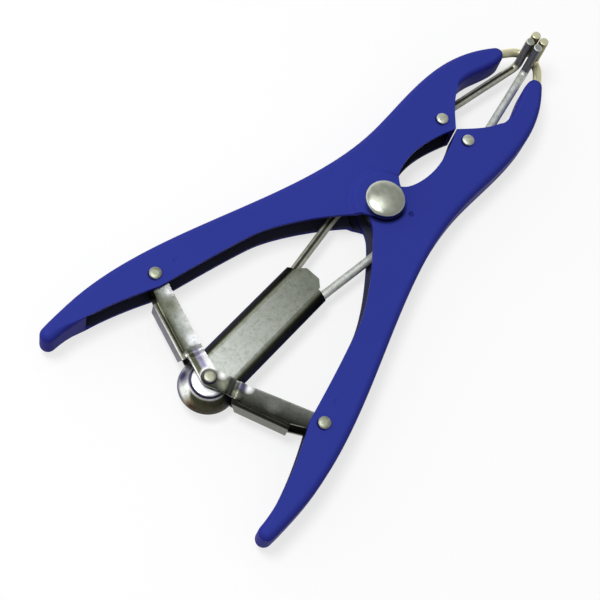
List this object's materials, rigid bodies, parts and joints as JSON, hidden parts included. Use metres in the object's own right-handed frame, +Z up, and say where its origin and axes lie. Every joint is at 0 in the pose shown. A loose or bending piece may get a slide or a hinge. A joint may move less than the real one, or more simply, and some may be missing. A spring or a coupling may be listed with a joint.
{
  "type": "castration band pliers",
  "caption": "Pliers that spread a rubber ring on upright prongs, with pressed channel handles, a sliding tray and a link drive.",
  "frame": {"origin": "centre of the underside of the bounding box, with the tool level on the tail of its main rivet", "axes": "+Y from the grips to the prongs, +Z up along the rivets and the prongs, +X to the right handle"},
  "size_m": [0.1206, 0.2486, 0.0297],
  "materials": {
    "blue_paint": "satin blue coating",
    "bright_steel": "bright zinc plating",
    "rod_steel": "satin steel",
    "slider_steel": "dull zinc plating",
    "yellow_zinc": "yellow zinc plating"
  },
  "bodies": {
    "pivot": {"main_rivet": "bright_steel", "pivot_spacer": "bright_steel"},
    "left_handle": {"left_handle": "blue_paint", "left_jaw_rivet": "bright_steel", "left_jaw_roller": "bright_steel", "left_link_rivet": "bright_steel", "left_outer_prong": "yellow_zinc"},
    "right_handle": {"right_handle": "blue_paint", "right_jaw_rivet": "bright_steel", "right_jaw_roller": "bright_steel", "right_link_rivet": "bright_steel", "right_outer_prong": "yellow_zinc"},
    "slider": {"slider": "slider_steel", "link_joint_rivet": "bright_steel", "joint_spacer": "bright_steel", "joint_washer": "bright_steel"},
    "left_link": {"left_link": "bright_steel"},
    "right_link": {"right_link": "bright_steel"},
    "left_rod": {"left_rod": "rod_steel"},
    "right_rod": {"right_rod": "rod_steel"}
  },
  "joints": [
    {"name": "left_handle_hinge", "type": "hinge", "parent": "pivot", "child": "left_handle", "pos_m": [0, 0.01678, 0.01115], "axis": [0, 0, 1], "range_deg": [0, 11]},
    {"name": "right_handle_hinge", "type": "hinge", "parent": "pivot", "child": "right_handle", "pos_m": [0, 0.01678, 0.01115], "axis": [0, 0, -1], "range_deg": [0, 11]},
    {"name": "slider_slide", "type": "slide", "parent": "pivot", "child": "slider", "axis": [0, -1, 0], "range_m": [0, 0.0318]},
    {"name": "left_link_hinge", "type": "hinge", "parent": "slider", "child": "left_link", "pos_m": [0, -0.09078, 0.01115], "axis": [0, 0, -1], "range_deg": [0, 36.8]},
    {"name": "right_link_hinge", "type": "hinge", "parent": "slider", "child": "right_link", "pos_m": [0, -0.09078, 0.01115], "axis": [0, 0, 1], "range_deg": [0, 36.8]},
    {"name": "left_rod_hinge", "type": "hinge", "parent": "slider", "child": "left_rod", "pos_m": [0, -0.09078, 0.01115], "axis": [0, 0, 1], "range_deg": [0, 4.75]},
    {"name": "right_rod_hinge", "type": "hinge", "parent": "slider", "child": "right_rod", "pos_m": [0, -0.09078, 0.01115], "axis": [0, 0, -1], "range_deg": [0, 4.75]}
  ],
  "couplings": [
    {"joint": "right_handle_hinge", "follows": "left_handle_hinge", "ratio": 1},
    {"joint": "slider_slide", "follows": "left_handle_hinge", "m_per_rad": 0.16555},
    {"joint": "left_link_hinge", "follows": "left_handle_hinge", "ratio": 3.3411},
    {"joint": "right_link_hinge", "follows": "left_handle_hinge", "ratio": 3.3411},
    {"joint": "left_rod_hinge", "follows": "left_handle_hinge", "ratio": 0.43},
    {"joint": "right_rod_hinge", "follows": "left_handle_hinge", "ratio": 0.43}
  ]
}
